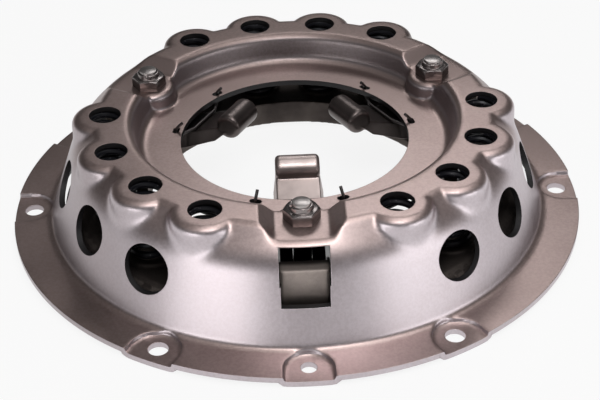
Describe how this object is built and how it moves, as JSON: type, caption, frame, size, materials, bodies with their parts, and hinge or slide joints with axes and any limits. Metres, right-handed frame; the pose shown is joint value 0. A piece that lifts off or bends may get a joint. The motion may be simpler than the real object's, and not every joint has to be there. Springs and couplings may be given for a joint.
{
  "type": "clutch cover assembly",
  "caption": "Round pressed steel clutch cover with a scalloped dome over coil springs, an iron pressure plate under it and release levers pointing into its central opening.",
  "frame": {"origin": "on the cover's axis at the mounting face, the underside of the bolt pads", "axes": "+Z from the mounting face towards the levers' side; -Y towards the first lever's window; +X completes the right-handed frame"},
  "size_m": [0.363, 0.363, 0.074],
  "materials": {
    "cover": "satin",
    "pressure_plate": "machined",
    "lever": "satin",
    "lever_pin": "ground",
    "eyebolt": "turned",
    "adjusting_nut": "bright",
    "strut": "satin",
    "anti_rattle_spring": "dark",
    "pressure_spring": "satin black"
  },
  "bodies": {
    "cover": {"cover": "cover", "eyebolt_1": "eyebolt", "adjusting_nut_1": "adjusting_nut", "anti_rattle_spring_1": "anti_rattle_spring", "eyebolt_2": "eyebolt", "adjusting_nut_2": "adjusting_nut", "anti_rattle_spring_2": "anti_rattle_spring", "eyebolt_3": "eyebolt", "adjusting_nut_3": "adjusting_nut", "anti_rattle_spring_3": "anti_rattle_spring", "pressure_spring_01": "pressure_spring", "pressure_spring_02": "pressure_spring", "pressure_spring_03": "pressure_spring", "pressure_spring_04": "pressure_spring", "pressure_spring_05": "pressure_spring", "pressure_spring_06": "pressure_spring", "pressure_spring_07": "pressure_spring", "pressure_spring_08": "pressure_spring", "pressure_spring_09": "pressure_spring", "pressure_spring_10": "pressure_spring", "pressure_spring_11": "pressure_spring", "pressure_spring_12": "pressure_spring"},
    "plate": {"pressure_plate": "pressure_plate"},
    "lever_1": {"lever_1": "lever", "lever_pin_1": "lever_pin"},
    "strut_1": {"strut_1": "strut"},
    "lever_2": {"lever_2": "lever", "lever_pin_2": "lever_pin"},
    "strut_2": {"strut_2": "strut"},
    "lever_3": {"lever_3": "lever", "lever_pin_3": "lever_pin"},
    "strut_3": {"strut_3": "strut"}
  },
  "joints": [
    {"name": "plate_lift", "type": "slide", "parent": "cover", "child": "plate", "axis": [0, 0, 1], "range_m": [0, 0.007], "deforming": ["pressure_spring_01", "pressure_spring_02", "pressure_spring_03", "pressure_spring_04", "pressure_spring_05", "pressure_spring_06", "pressure_spring_07", "pressure_spring_08", "pressure_spring_09", "pressure_spring_10", "pressure_spring_11", "pressure_spring_12"]},
    {"name": "lever_1_pivot", "type": "hinge", "parent": "cover", "child": "lever_1", "pos_m": [0, -0.10765, 0.0295], "axis": [-1, 0, 0], "range_deg": [0, 21.04]},
    {"name": "strut_1_rock", "type": "hinge", "parent": "lever_1", "child": "strut_1", "pos_m": [0, -0.1265, 0.026], "axis": [-1, 0, 0], "range_deg": [-21.04, 0]},
    {"name": "lever_2_pivot", "type": "hinge", "parent": "cover", "child": "lever_2", "pos_m": [0.09323, 0.05382, 0.0295], "axis": [0.5, -0.866, 0], "range_deg": [0, 21.04]},
    {"name": "strut_2_rock", "type": "hinge", "parent": "lever_2", "child": "strut_2", "pos_m": [0.10955, 0.06325, 0.026], "axis": [0.5, -0.866, 0], "range_deg": [-21.04, 0]},
    {"name": "lever_3_pivot", "type": "hinge", "parent": "cover", "child": "lever_3", "pos_m": [-0.09323, 0.05382, 0.0295], "axis": [0.5, 0.866, 0], "range_deg": [0, 21.04]},
    {"name": "strut_3_rock", "type": "hinge", "parent": "lever_3", "child": "strut_3", "pos_m": [-0.10955, 0.06325, 0.026], "axis": [0.5, 0.866, 0], "range_deg": [-21.04, 0]}
  ],
  "couplings": [
    {"joint": "lever_1_pivot", "follows": "plate_lift", "rad_per_m": 52.453},
    {"joint": "strut_1_rock", "follows": "plate_lift", "rad_per_m": -52.453},
    {"joint": "lever_2_pivot", "follows": "plate_lift", "rad_per_m": 52.453},
    {"joint": "strut_2_rock", "follows": "plate_lift", "rad_per_m": -52.453},
    {"joint": "lever_3_pivot", "follows": "plate_lift", "rad_per_m": 52.453},
    {"joint": "strut_3_rock", "follows": "plate_lift", "rad_per_m": -52.453}
  ]
}
